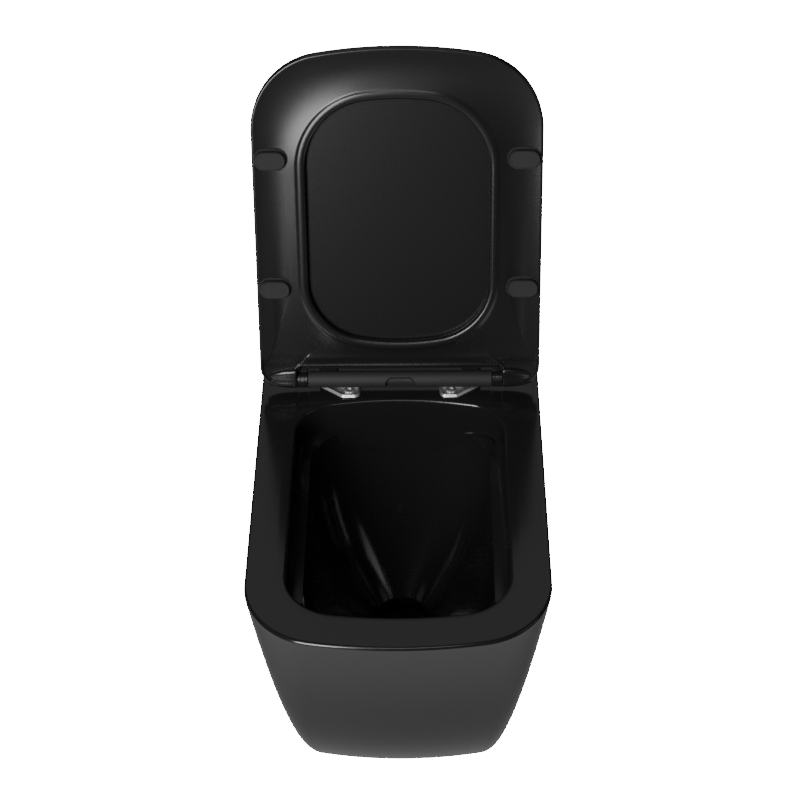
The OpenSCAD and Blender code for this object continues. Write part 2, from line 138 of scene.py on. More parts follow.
class StudioSettings(bpy.types.PropertyGroup):
    lens: factor("Lens", "Focal length in millimetres on a 36 mm sensor", 86.86, 300.0)
    distance: length("Distance", "Camera's distance from the point it looks at", 2.4744)
    pitch: factor("Pitch", "Camera's downward angle in degrees", 41.8, 90.0)
    yaw: angle("Yaw", "Camera's turn to the right in degrees", 1.12)
    roll: angle("Roll", "Camera's roll in degrees", -1.05)
    aim: length("Aim", "Distance of the point looked at from the pan's front", 0.41915)
    floor_drop: length("Floor", "Height of the pan's underside above the floor", 0.080)


GROUPS = {
    "pan_sizes": PanSizes,
    "pan_seat": SeatSizes,
    "pan_finish": FinishColours,
    "pan_studio": StudioSettings,
}


# ---- outlines and grids


def rounded_outline(w, front, back, rc, rf, rr, rb, n=20):
    """A pan outline as (..., points, 2), anticlockwise from above from the front centre. Half-width w,
    a front arc of radius rf meeting the sides through corners of radius rc, a back arc rb with corners
    rr. Each arc is centre + radius * (sin a, -+cos a), with a running between the tangent angles
    asin((w - rc) / (rf - rc))."""
    w, front, back, rc, rf, rr, rb = (
        np.asarray(v, float)[..., None] for v in np.broadcast_arrays(w, front, back, rc, rf, rr, rb)
    )
    t = np.linspace(0, 1, n)
    af = np.arcsin((w - rc) / (rf - rc))
    ab = np.arcsin((w - rr) / (rb - rr))
    cy = front + rf - np.sqrt((rf - rc) ** 2 - (w - rc) ** 2)
    dy = back - rb + np.sqrt((rb - rr) ** 2 - (w - rr) ** 2)
    a1 = af * t
    a2 = af + (np.pi / 2 - af) * t
    a4 = np.pi / 2 - (np.pi / 2 - ab) * t
    a5 = ab * (1 - t)
    x = [rf * np.sin(a1), w - rc + rc * np.sin(a2), w + 0 * t, w - rr + rr * np.sin(a4), rb * np.sin(a5)]
    y = [
        front + rf - rf * np.cos(a1),
        cy - rc * np.cos(a2),
        cy + (dy - cy) * t,
        dy + rr * np.cos(a4),
        back - rb + rb * np.cos(a5),
    ]
    keep = [slice(0, -1)] * 4 + [slice(0, None)]
    half = np.stack(
        [np.concatenate([v[..., k] for v, k in zip(c, keep)], axis=-1) for c in (x, y)], axis=-1
    )
    left = half[..., -2:0:-1, :] * np.array([-1, 1])
    return np.concatenate([half, left], axis=-2)


def resample(path, count):
    """count points evenly spaced by length along an open path, both ends kept."""
    step = np.linalg.norm(np.diff(path, axis=0), axis=1)
    at = np.concatenate([[0], np.cumsum(step)])
    s = np.linspace(0, at[-1], count)
    return np.stack([np.interp(s, at, path[:, k]) for k in range(path.shape[1])], axis=1)


def closed_normals(loop):
    """Unit outward normals of an anticlockwise closed loop: the mean of the two edges at a point,
    turned -90."""
    edge = np.roll(loop, -1, axis=0) - loop
    edge /= np.linalg.norm(edge, axis=1)[:, None]
    tangent = edge + np.roll(edge, 1, axis=0)
    tangent /= np.linalg.norm(tangent, axis=1)[:, None]
    return np.stack([tangent[:, 1], -tangent[:, 0]], axis=1)


def lift(loops, heights):
    """Plan loops (m, n, 2) and heights (m,) or (m, n) to points (m, n, 3)."""
    z = np.broadcast_to(np.asarray(heights, float).reshape(len(loops), -1), loops.shape[:2])
    return np.concatenate([loops, z[..., None]], axis=2)


def level(plan, z):
    """One plan loop at a height z, or at a height for each point."""
    return lift(plan[None], [z])


def smooth(a, b, x):
    """0 below a, 1 above b and a cubic ease between."""
    t = np.clip((np.asarray(x, float) - a) / (b - a), 0, 1)
    return t * t * (3 - 2 * t)


def grid_faces(m, n, wrap_m):
    """Quads of an m by n grid whose second index closes on itself, and the first too if wrap_m."""
    k = np.arange(m if wrap_m else m - 1)[:, None]
    i = np.arange(n)[None, :]
    j, l = (i + 1) % n, (k + 1) % m
    return np.stack([k * n + i, k * n + j, l * n + j, l * n + i], axis=-1).reshape(-1, 4)


def make_mesh(name, points, wrap=False, poles=True):
    """An object from rings (m, n, 3). The rings' first index runs so that each quad (k, i), (k, i + 1),
    (k + 1, i + 1), (k + 1, i) faces outwards; poles closes the first and last ring with a fan about its
    mean."""
    m, n, _ = points.shape
    verts = points.reshape(-1, 3)
    faces = grid_faces(m, n, wrap).tolist()
    if poles and not wrap:
        ends = np.array([points[0].mean(axis=0), points[-1].mean(axis=0)])
        verts = np.concatenate([verts, ends])
        i = np.arange(n)
        j = (i + 1) % n
        first = np.stack([j, i, np.full(n, m * n)], axis=1)
        last = np.stack([(m - 1) * n + i, (m - 1) * n + j, np.full(n, m * n + 1)], axis=1)
        faces += first.tolist() + last.tolist()
    return mesh_object(name, verts, faces)


def mesh_object(name, verts, faces):
    data = bpy.data.meshes.new(name)
    data.from_pydata(np.asarray(verts).tolist(), [], faces)
    data.validate()
    data.update()
    obj = bpy.data.objects.new(name, data)
    bpy.context.scene.collection.objects.link(obj)
    return obj


def shade(obj, degrees=32.0):
    """Smooth faces, with edges sharper than the angle left hard."""
    data = obj.data
    data.polygons.foreach_set("use_smooth", np.ones(len(data.polygons), bool))
    data.set_sharp_from_angle(angle=math.radians(degrees))
    data.update()


def outward(obj):
    """Turns a closed mesh right side out if its signed volume, the sum of a . (b x c) / 6, is negative."""
    data = obj.data
    data.calc_loop_triangles()
    co = np.empty(len(data.vertices) * 3)
    data.vertices.foreach_get("co", co)
    co = co.reshape(-1, 3)
    tri = np.empty(len(data.loop_triangles) * 3, np.int32)
    data.loop_triangles.foreach_get("vertices", tri)
    a, b, c = (co[tri[k::3]] for k in range(3))
    if np.einsum("ij,ij->i", a, np.cross(b, c)).sum() < 0:
        data.flip_normals()
    return obj


def shell(name, points, wrap=False, poles=True):
    """A closed mesh from rings of points, right side out."""
    return outward(make_mesh(name, points, wrap, poles))


def join(name, objects):
    """One object from several, each a closed shell of its own."""
    bpy.ops.object.select_all(action="DESELECT")
    for o in objects:
        o.select_set(True)
    bpy.context.view_layer.objects.active = objects[0]
    bpy.ops.object.join()
    objects[0].name = name
    objects[0].data.name = name
    return objects[0]


def carve(obj, cutters):
    """Applies Boolean modifiers and removes the cutters."""
    bpy.context.view_layer.objects.active = obj
    for cutter in cutters:
        mod = obj.modifiers.new("carve", "BOOLEAN")
        mod.operation = "DIFFERENCE"
        mod.solver = "EXACT"
        mod.object = cutter
        bpy.ops.object.modifier_apply(modifier=mod.name)
        bpy.data.objects.remove(cutter, do_unlink=True)
    return obj


def raised(points):
    """Points drawn with the seat closed, about the hinge axis, turned up to the open stop and moved
    into place: y' = y cos a + z sin a, z' = z cos a - y sin a, with a the opening angle."""
    p = np.asarray(points, float)
    c, s = math.cos(OPEN), math.sin(OPEN)
    y, z = p[..., 1], p[..., 2]
    return np.stack([p[..., 0], y * c + z * s + AXIS[1], z * c - y * s + AXIS[2]], axis=-1)


def revolve(profile, centre, axis, n=64, flutes=0, flute_depth=0.0):
    """A profile of (distance along, radius) turned about an axis: p = centre + axis * d + r * (u cos t
    + v sin t), with the radius scaled by 1 + flute_depth * cos(flutes * t)."""
    axis = np.asarray(axis, float) / np.linalg.norm(axis)
    helper = np.array([0.0, 0.0, 1.0]) if abs(axis[2]) < 0.9 else np.array([1.0, 0.0, 0.0])
    u = np.cross(helper, axis)
    u /= np.linalg.norm(u)
    v = np.cross(axis, u)
    t = np.arange(n) / n * TAU
    d, r = np.asarray(profile, float).T
    ripple = 1 + flute_depth * np.cos(flutes * t)
    ring = np.cos(t)[:, None] * u + np.sin(t)[:, None] * v
    return (
        np.asarray(centre) + d[:, None, None] * axis + (r[:, None] * ripple)[..., None] * ring[None]
    )


def squared(v, power):
    """A cosine or sine bent towards a square outline: sign(v) * |v|^power."""
    return np.sign(v) * np.abs(v) ** power


def arc_profile(d0, r0, d1, r1, bulge, n=6):
    """Quarter ellipse from (d0, r0) to (d1, r1); bulge 1 leaves along d first, 0 along r first."""
    a = np.linspace(0, np.pi / 2, n)
    p, q = np.sin(a), 1 - np.cos(a)
    if not bulge:
        p, q = q, p
    return np.stack([d0 + (d1 - d0) * p, r0 + (r1 - r0) * q], axis=1)


def tube(name, centre, axis, length_, outer, inner, chamfer=0.0012, n=72):
    """A closed tube along an axis from centre, with small rounded ends."""
    c = chamfer
    prof = np.concatenate([
        arc_profile(0, outer - c, c, outer, 0),
        arc_profile(length_ - c, outer, length_, outer - c, 1),
        arc_profile(length_, inner + c, length_ - c, inner, 0),
        arc_profile(c, inner, 0, inner + c, 1),
    ])
    return shell(name, revolve(prof, centre, axis, n), wrap=True, poles=False)


# ---- materials


def node_group(name, inputs, outputs):
    group = bpy.data.node_groups.new(name, "ShaderNodeTree")
    for label, kind, default in inputs:
        s = group.interface.new_socket(label, in_out="INPUT", socket_type=kind)
        if default is not None:
            s.default_value = default
    for label, kind in outputs:
        group.interface.new_socket(label, in_out="OUTPUT", socket_type=kind)
    return group, group.nodes.new("NodeGroupInput"), group.nodes.new("NodeGroupOutput")


def math_node(tree, operation, a, b=None, clamp=False):
    n = tree.nodes.new("ShaderNodeMath")
    n.operation = operation
    n.use_clamp = clamp
    for k, v in enumerate((a, b)):
        if v is None:
            continue
        if isinstance(v, (int, float)):
            n.inputs[k].default_value = v
        else:
            tree.links.new(v, n.inputs[k])
    return n.outputs[0]


def fill(node, values):
    """Sets a node's inputs by name."""
    for name, value in values.items():
        node.inputs[name].default_value = value


def ease_node(tree, value, start, end, low, high):
    """Eases from low at start to high at end."""
    n = tree.nodes.new("ShaderNodeMapRange")
    n.interpolation_type = "SMOOTHSTEP"
    fill(n, {"From Min": start, "From Max": end, "To Min": low, "To Max": high})
    tree.links.new(value, n.inputs["Value"])
    return n.outputs["Result"]


def noise(tree, vector, scale, detail=2.0, roughness=0.5):
    n = tree.nodes.new("ShaderNodeTexNoise")
    fill(n, {"Scale": scale, "Detail": detail, "Roughness": roughness})
    tree.links.new(vector, n.inputs["Vector"])
    return n.outputs["Fac"]


def moulded_surface():
    """Fine texture of a cast or moulded skin: waviness, grain and specks, as roughness, height and colour."""
    group, enter, leave = node_group(
        "moulded_surface",
        [
            ("Vector", "NodeSocketVector", None),
            ("Roughness", "NodeSocketFloat", 0.4),
            ("Variation", "NodeSocketFloat", 0.05),
            ("Grain", "NodeSocketFloat", 0.3),
            ("Base", "NodeSocketColor", (0.01, 0.01, 0.01, 1)),
            ("Dust", "NodeSocketFloat", 0.1),
        ],
        [("Roughness", "NodeSocketFloat"), ("Height", "NodeSocketFloat"), ("Colour", "NodeSocketColor")],
    )
    vec = enter.outputs["Vector"]
    broad = noise(group, vec, 9.0, 2.0)
    fine = noise(group, vec, 1400.0, 2.0, 0.6)
    specks = noise(group, vec, 420.0, 3.0, 0.7)
    swing = math_node(group, "MULTIPLY", math_node(group, "SUBTRACT", broad, 0.5), enter.outputs["Variation"])
    grain = math_node(group, "MULTIPLY", math_node(group, "SUBTRACT", fine, 0.5), enter.outputs["Variation"])
    total = math_node(group, "ADD", math_node(group, "ADD", enter.outputs["Roughness"], swing), grain)
    group.links.new(total, leave.inputs["Roughness"])
    height = math_node(
        group, "ADD", math_node(group, "MULTIPLY", fine, enter.outputs["Grain"]),
        math_node(group, "MULTIPLY", broad, 0.4),
    )
    group.links.new(height, leave.inputs["Height"])
    dusty = math_node(
        group, "MULTIPLY", math_node(group, "SUBTRACT", specks, 0.62, clamp=True), enter.outputs["Dust"]
    )
    mix = group.nodes.new("ShaderNodeMix")
    mix.data_type = "RGBA"
    mix.inputs["B"].default_value = (0.25, 0.25, 0.24, 1)
    group.links.new(dusty, mix.inputs["Factor"])
    group.links.new(enter.outputs["Base"], mix.inputs["A"])
    group.links.new(mix.outputs["Result"], leave.inputs["Colour"])
    return group


def brushed_surface():
    """Fine parallel scratches across Z on polished steel, as roughness and height."""
    group, enter, leave = node_group(
        "brushed_surface",
        [("Vector", "NodeSocketVector", None), ("Roughness", "NodeSocketFloat", 0.2)],
        [("Roughness", "NodeSocketFloat"), ("Height", "NodeSocketFloat")],
    )
    scale = group.nodes.new("ShaderNodeVectorMath")
    scale.operation = "MULTIPLY"
    scale.inputs[1].default_value = (60.0, 900.0, 900.0)
    group.links.new(enter.outputs["Vector"], scale.inputs[0])
    streak = noise(group, scale.outputs[0], 1.0, 3.0, 0.6)
    rough = math_node(
        group, "ADD", enter.outputs["Roughness"],
        math_node(group, "MULTIPLY", math_node(group, "SUBTRACT", streak, 0.5), 0.16),
    )
    group.links.new(rough, leave.inputs["Roughness"])
    group.links.new(streak, leave.inputs["Height"])
    return group


def material(name, base, metallic=0.0, coat=0.0, coat_roughness=0.1):
    mat = bpy.data.materials.new(name)
    mat.use_nodes = True
    tree = mat.node_tree
    shader = tree.nodes["Principled BSDF"]
    fill(shader, {
        "Base Color": (*base, 1), "Metallic": metallic, "Specular IOR Level": 0.5,
        "Coat Weight": coat, "Coat Roughness": coat_roughness,
    })
    coords = tree.nodes.new("ShaderNodeTexCoord")
    return mat, tree, shader, coords.outputs["Object"]


def bump(tree, shader, height, distance):
    b = tree.nodes.new("ShaderNodeBump")
    fill(b, {"Distance": distance, "Strength": 1.0})
    tree.links.new(height, b.inputs["Height"])
    tree.links.new(b.outputs["Normal"], shader.inputs["Normal"])


def moulded(name, base, roughness, variation, grain, dust, distance, **look):
    """A cast or moulded material from the shared surface group."""
    mat, tree, shader, vec = material(name, base, **look)
    skin = tree.nodes.new("ShaderNodeGroup")
    skin.node_tree = bpy.data.node_groups.get("moulded_surface") or moulded_surface()
    tree.links.new(vec, skin.inputs["Vector"])
    fill(skin, {
        "Roughness": roughness, "Variation": variation, "Grain": grain, "Base": (*base, 1), "Dust": dust,
    })
    tree.links.new(skin.outputs["Roughness"], shader.inputs["Roughness"])
    tree.links.new(skin.outputs["Colour"], shader.inputs["Base Color"])
    bump(tree, shader, skin.outputs["Height"], distance)
    return mat


def steel(name, base, roughness):
    """Polished steel from the shared brushed group."""
    mat, tree, shader, vec = material(name, base, metallic=1.0)
    skin = tree.nodes.new("ShaderNodeGroup")
    skin.node_tree = bpy.data.node_groups.get("brushed_surface") or brushed_surface()
    tree.links.new(vec, skin.inputs["Vector"])
    skin.inputs["Roughness"].default_value = roughness
    tree.links.new(skin.outputs["Roughness"], shader.inputs["Roughness"])
    bump(tree, shader, skin.outputs["Height"], 0.00002)
    return mat


# colour, roughness, its variation, grain, dust, depth of the bumps and what else differs
MOULDED = {
    "black_glaze": ("glaze", 0.34, 0.05, 0.30, 0.06, 0.00003, {}),
    "black_thermoset": ("thermoset", 0.19, 0.04, 0.20, 0.08, 0.000012, {}),
    "black_plastic": ("plastic", 0.28, 0.08, 0.50, 0.12, 0.00006, {"coat": 0.5, "coat_roughness": 0.14}),
    "white_plastic": ("white_plastic", 0.45, 0.10, 0.40, 0.0, 0.00004, {}),
    "black_rubber": ("rubber", 0.55, 0.12, 0.80, 0.25, 0.00008, {}),
    "damper_body": ("casing", 0.42, 0.08, 0.40, 0.1, 0.00004, {}),
}
POLISHED = {"stainless": ("stainless", 0.11), "spring_steel": ("stainless", 0.30), "brass": ("brass", 0.28)}


def finish_of(slot_name):
    found = bpy.data.materials.get(slot_name)
    if found is not None:
        return found
    colours = bpy.context.scene.pan_finish
    if slot_name in POLISHED:
        base, roughness = POLISHED[slot_name]
        return steel(slot_name, getattr(colours, base), roughness)
    base, *values, look = MOULDED[slot_name]
    return moulded(slot_name, getattr(colours, base), *values, **look)


def dress(obj, slot_name, body, *nodes, degrees=32.0):
    """Gives a new piece its material, body, slot and the CAD nodes it stands for."""
    obj.data.materials.clear()
    obj.data.materials.append(finish_of(slot_name))
    shade(obj, degrees)
    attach(obj, body)
    if nodes:
        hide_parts(*nodes)


# ---- pan


def skirt_outline(u, inset, back=0.0):
    """The skirt's plan at u, 0 at the rim and 1 at the underside: the side draws in by rake * (1 - (1 -
    u)^1.35), the front back by rake * u^2.5, and the corner radius falls from 96 to 20 mm as (1 -
    u)^2.2."""
    k = bpy.context.scene.pan_sizes
    half = PAN_HIGH[0]
    return rounded_outline(
        half - k.side_rake * (1 - (1 - u) ** 1.35) - inset,
        FRONT + k.front_rake * u**2.5 + inset,
        back + 0 * u,
        0.020 + 0.0757 * (1 - u) ** 2.2 - inset * 0.5,
        0.606 - 0.073 * u - inset,
        0.003 + 0 * u,
        9.0 + 0 * u,
    )


def opening_outline(grow):
    k = bpy.context.scene.pan_sizes
    return rounded_outline(
        k.bowl_width / 2 + grow, FRONT + k.rim_width - grow, FRONT + k.opening_length + grow,
        0.062 + grow, 0.560, 0.050 + grow, 0.470,
    )


def bowl_outline(v, grow):
    """The bowl's plan at v, 0 at the ledge and 1 at the floor: every size eases to the round sump's as
    1 - v^2.2."""
    s = 1 - v**2.2
    half = 0.034 + 0.080 * s
    mid = FRONT + 0.300
    corner = half * (0.90 - 0.30 * s)
    return rounded_outline(
        half + grow, mid - 0.034 - 0.198 * s - grow, mid + 0.034 + 0.090 * s + grow,
        corner + grow, half * (1.2 + 2.9 * s) + grow, corner + grow, half * (1.2 + 2.7 * s) + grow,
    )


def sump_rings(floor):
    """Rings of the sump's throat: circles that sink, drift back and tip towards the trapway."""
    t = np.linspace(1, 0, 7)[:, None]
    base = bowl_outline(np.array(1.0), 0.0)
    middle = base.mean(axis=0)
    plan = middle + (base - middle)[None] * (1 - 0.12 * t[..., None])
    tip = 0.35 * t * (plan[..., 1] - middle[1])
    plan = plan + np.stack([0 * t, 0.024 * t**2], axis=-1)
    return lift(plan, floor - 0.030 * t - tip * 0.5)[:-1]


def bowl_rings():
    """Rings from the throat up the bowl, over the flush ledge and up the wall to the rim's inner edge.
    Behind the shield the ledge gives way to a recess: the wall's foot drops to the shield's curved
    lower edge."""
    k = bpy.context.scene.pan_sizes
    floor = UNDER + 0.060
    ledge = RIM - k.ledge_depth
    mouth = opening_outline(0.0)
    normal = closed_normals(mouth)
    x, y = mouth[:, 0], mouth[:, 1]
    rear = smooth(FRONT + 0.374, FRONT + 0.410, y)
    hang = 0.052 + 0.036 * np.clip(1 - (x / 0.118) ** 2, 0, 1)
    foot = np.where(rear > 0, RIM - (k.ledge_depth + rear * (hang - k.ledge_depth)), ledge)
    v = np.linspace(1, 0, 44)
    low = lift(bowl_outline(v, 0.0), ledge - 0.006 - (ledge - 0.006 - floor) * v)
    rows = [sump_rings(floor), low]
    top = low[-1]
    target = mouth - normal * (k.ledge_width * (1 - rear) - 0.007 * rear)[:, None]
    for f in (0.3, 0.6, 0.85, 1.0):
        plan = top[:, :2] + (target - top[:, :2]) * f
        ease = f * f * (3 - 2 * f)
        z = top[:, 2] + (foot + 0.010 * rear - top[:, 2]) * ease
        rows.append(level(plan, z))
    for inset, dz in ((0.011, 0.0004), (0.006, 0.001), (0.0025, 0.0025), (0.0008, 0.005), (0.0, 0.009)):
        plan = mouth - normal * (inset * (1 - rear) - 0.5 * inset * rear)[:, None]
        z = foot + dz * (1 - rear) + (0.010 - dz * 1.1) * rear * (inset > 0.003)
        rows.append(level(plan, z))
    base = rows[-1][0, :, 2]
    edge = 0.004
    for f in (0.35, 0.7):
        rows.append(level(mouth, base + (RIM - edge - base) * f))
    for a in np.radians((0, 18, 36, 54, 72, 90)):
        rows.append(level(opening_outline(edge * (1 - np.cos(a))), RIM - edge * (1 - np.sin(a))))
    return np.concatenate(rows)


def outer_rings():
    """Rings from the rim's flat, over its outer fillet, down the skirt, round the lower edge and under."""
    k = bpy.context.scene.pan_sizes
    tall = RIM - UNDER
    r = k.rim_fillet
    start, end = opening_outline(0.004), skirt_outline(0.0, r)
    flat = [start + (end - start) * f for f in (0.25, 0.5, 0.75, 0.97)]
    rows = [lift(np.array(flat), np.full(4, RIM))]
    a = np.radians(np.linspace(0, 90, 12))
    drop = r * (1 - np.cos(a))
    rows.append(lift(skirt_outline(drop / tall, r * (1 - np.sin(a))), RIM - drop))
    u = np.linspace(r / tall, 1 - k.under_fillet / tall, 46)[1:-1]
    rows.append(lift(skirt_outline(u, 0 * u), RIM - tall * u))
    b = np.radians(np.linspace(0, 90, 12))
    rise = k.under_fillet * (1 - np.sin(b))
    rows.append(lift(skirt_outline(1 - rise / tall, k.under_fillet * (1 - np.cos(b))), UNDER + rise))
    last = skirt_outline(1.0, k.under_fillet)
    middle = last.mean(axis=0)
    rows.append(lift(np.array([middle + (last - middle) * f for f in (0.7, 0.3)]), [UNDER] * 2))
    return np.concatenate(rows)


def hollow_rings():
    """The moulding's hollow: round the bowl's outside, across under the rim, and down inside the skirt,
    running out past the wall face."""
    k = bpy.context.scene.pan_sizes
    tall = RIM - UNDER
    past = 0.03
    v = np.linspace(1, 0, 16)
    floor = UNDER + 0.028
    ledge = RIM - k.ledge_depth
    rows = [lift(bowl_outline(v, k.wall), ledge - 0.018 - (ledge - 0.018 - floor) * v)]
    for z in (ledge - 0.014, RIM - 0.018):
        rows.append(level(opening_outline(k.wall + 0.001), z))
    u = np.linspace(0.018 / tall, 1 - k.wall / tall, 20)
    rows.append(lift(skirt_outline(u, k.wall + 0.004 * smooth(0.8, 1, u), back=past), RIM - tall * u))
    return np.concatenate(rows)


class PAN_OT_body(bpy.types.Operator):
    """Builds the glazed pan: bowl, flush ledge, rim, skirt, hollow back and its wall connections"""

    bl_idname = "pan.body"
    bl_label = "Pan"

    def execute(self, context):
        body = shell("pan_body", np.concatenate([bowl_rings(), outer_rings()]))
        hollow = shell("pan_hollow", hollow_rings())
        carve(body, [hollow])
        parts = [body] + self.back_fittings()
        dress(join("pan_body", parts), "black_glaze", "pan_and_bar", "pan", degrees=38.0)
        return {"FINISHED"}

    def back_fittings(self):
        """The web across the back with its stud lugs, flush inlet and outlet spigot, each a closed shell."""
        into = (0, -1, 0)
        spacing = STUDS["dims"]["spacing_x_mm"] * MM / 2
        z_in, z_out = INLET["pos_m"][2], SPIGOT["pos_m"][2]
        bore = INLET["dims"]["r_mm"] * MM
        web = self.web(0.148, -0.022, -0.008, -0.030, 0.070)
        holes = [
            shell("hole", revolve([(-0.01, r), (0.05, r)], (x, 0.0, z), into))
            for x, z, r in ((spacing, 0, 0.0205), (-spacing, 0, 0.0205), (0, z_in, bore + 0.0085))
        ]
        carve(web, holes)
        made = [web]
        for s in (-1, 1):
            made.append(tube("lug", (s * spacing, -0.0001, 0), into, 0.060, 0.021, 0.010, 0.002))
        made.append(tube("inlet", (0, -0.0001, z_in), into, 0.123, bore + 0.009, bore, 0.003))
        radius = SPIGOT["dims"]["r_mm"] * MM - 0.0005
        made.append(tube("spigot", (0, -0.0001, z_out), into, 0.132, radius, 0.042, 0.0025))
        made.append(self.trapway(z_out))
        return made

    def trapway(self, z_out):
        """A tube of radius 34 mm along a Bezier curve from behind the sump, over the weir, to the outlet."""
        steps, around, radius = 40, 56, 0.034
        t = np.linspace(0, 1, steps)[:, None]
        ends = np.array([
            (FRONT + 0.360, UNDER + 0.036), (FRONT + 0.440, UNDER + 0.026),
            (-0.190, -0.075), (-0.118, z_out + 0.004),
        ])
        weight = [(1 - t) ** 3, 3 * t * (1 - t) ** 2, 3 * t * t * (1 - t), t**3]
        path = sum(w * e for w, e in zip(weight, ends))
        along = np.gradient(path, axis=0)
        along /= np.linalg.norm(along, axis=1)[:, None]
        side = np.stack([along[:, 1], -along[:, 0]], axis=1)
        a = np.arange(around) / around * TAU
        points = np.empty((steps, around, 3))
        points[..., 0] = radius * np.cos(a)
        points[..., 1:] = path[:, None] + side[:, None] * (radius * np.sin(a))[None, :, None]
        return shell("trapway", points)

    def web(self, half, y0, y1, z0, z1):
        """A plate with rounded edges: |x / a|^16 + |z / b|^16 = 1 swept between y0 and y1."""
        n = 96
        t = np.arange(n) / n * TAU
        c, s = np.cos(t), np.sin(t)
        x = half * squared(c, 0.125)
        z = (z0 + z1) / 2 + (z1 - z0) / 2 * squared(s, 0.125)
        rings = np.stack([np.stack([x, np.full(n, y), z], axis=1) for y in (y0, y1)])
        return shell("web", rings)


# ---- seat and cover


def seat_outer(n_front, n_back):
    """The seat's outer edge in the closed plan: the cover's outline with an ear each side of the hinge
    bar."""
    k = bpy.context.scene.pan_seat
    base = rounded_outline(k.width / 2, -k.reach, 0.0075, 0.095, 0.619, 0.026, 9.0, 40)
    half = base[: len(base) // 2 + 1]
    side = half[:, 1] < -0.060
    front = resample(half[side], n_front)
    rear = half[~side]
    rear = rear[rear[:, 0] > BAR_GAP]
    a = np.radians(np.linspace(0, 90, 8))
    turn = np.stack([BAR_GAP - 0.003 * np.sin(a), 0.0045 + 0.003 * np.cos(a)], axis=1)
    hollow = np.stack([0.1255 + 0.006 * np.cos(a), -0.0130 - 0.006 * np.sin(a)], axis=1)
    rear = np.concatenate([front[-1:], rear, turn, hollow, [[0.0, -0.019]]])
    return front, resample(rear, n_back)


def seat_inner(n_front, n_back):
    """The seat's opening: straight sides, corners of 84 and 76 mm and gently curved ends."""
    base = rounded_outline(0.113, -0.369, -0.056, 0.084, 0.330, 0.076, 0.300, 40)
    half = base[: len(base) // 2 + 1]
    side = half[:, 1] < -0.150
    front = resample(half[side], n_front)
    rear = np.concatenate([front[-1:], half[~side]])
    return front, resample(rear, n_back)


def whole_loop(front, rear):
    half = np.concatenate([front, rear[1:]])
    return np.concatenate([half, half[-2:0:-1] * np.array([-1, 1])])


def ring_section():
    """Distances of the seat ring's loops in from its outer edge and out from its inner edge."""
    outer_edge = np.array([0, 0.0004, 0.0010, 0.0018, 0.0028, 0.0040, 0.0060, 0.0085, 0.0115, 0.0150, 0.0190])
    inner_edge = np.array([
        0.0, 0.0003, 0.0010, 0.0020, 0.0035, 0.0055, 0.0075, 0.0093, 0.0108, 0.0122, 0.0140, 0.0170, 0.021
    ])
    return outer_edge, inner_edge


def seat_rings():
    """The seat ring as loops round it. Under: a rounded edge band, a channel 4 w (1 - w) deep at the
    fraction w across, a deeper hollow round the knuckles and a rounded bead round the opening. Above:
    level with rounded edges. Each loop is an offset of an edge or a blend of the two between."""
    k = bpy.context.scene.pan_seat
    outer = whole_loop(*seat_outer(150, 110))
    inner = whole_loop(*seat_inner(150, 110))
    n_out, n_in = closed_normals(outer), closed_normals(inner)
    low, high = -k.under, -k.under + k.thickness
    d_out, d_in = ring_section()
    tight = smooth(-0.050, -0.020, outer[:, 1])
    notch = smooth(BAR_GAP, 0.1300, np.abs(outer[:, 0])) * smooth(-0.030, -0.018, outer[:, 1])

    def outer_loop(d):
        past = max(d - 0.003, 0)
        step = min(d, 0.003) + past * (1 - 0.93 * tight)
        return outer - n_out * step[:, None]

    def under_height(plan, d_o, d_i):
        edge = np.maximum(smooth(0.002, 0.010, d_o), notch)
        from_out = np.linalg.norm(plan - outer, axis=1)
        from_in = np.linalg.norm(plan - inner, axis=1)
        across = np.clip((from_out - 0.002) / (from_out + from_in - 0.002 - k.lip), 0, 1)
        z = low + k.dish * 4 * across * (1 - across)
        z = z + 0.0036 * smooth(-0.034, -0.022, plan[:, 1]) * edge * smooth(0.02, 0.03, d_i)
        bead = np.sqrt(np.clip(1 - ((d_i - k.lip / 2) / (k.lip / 2)) ** 2, 0, 1))
        return z - 0.0018 * bead * (d_i < k.lip)

    def rounding(d, r):
        return r - math.sqrt(max(r * r - (r - min(d, r)) ** 2, 0))

    rows = []
    for d in d_out:
        plan = outer_loop(d)
        rows.append(level(plan, under_height(plan, d, 1.0) + rounding(d, 0.0030)))
    a = outer_loop(d_out[-1])
    b = inner + n_in * d_in[-1]
    for f in np.linspace(0, 1, 26)[1:-1]:
        plan = a + (b - a) * f
        rows.append(level(plan, under_height(plan, 1.0, 1.0)))
    for d in d_in[::-1]:
        plan = inner + n_in * d
        rows.append(level(plan, under_height(plan, 1.0, d) + rounding(d, 0.0035)))
    for d in (0.0, 0.0004, 0.0012, 0.0024, 0.004):
        rows.append(level(inner + n_in * d, high - rounding(d, 0.004)))
    a, b = inner + n_in * 0.004, outer_loop(0.003)
    for f in np.linspace(0, 1, 14)[1:-1]:
        rows.append(level(a + (b - a) * f, high))
    for d in (0.003, 0.0018, 0.0008, 0.0003, 0.0):
        rows.append(level(outer_loop(d), high - rounding(d, 0.003)))
    return np.concatenate(rows)


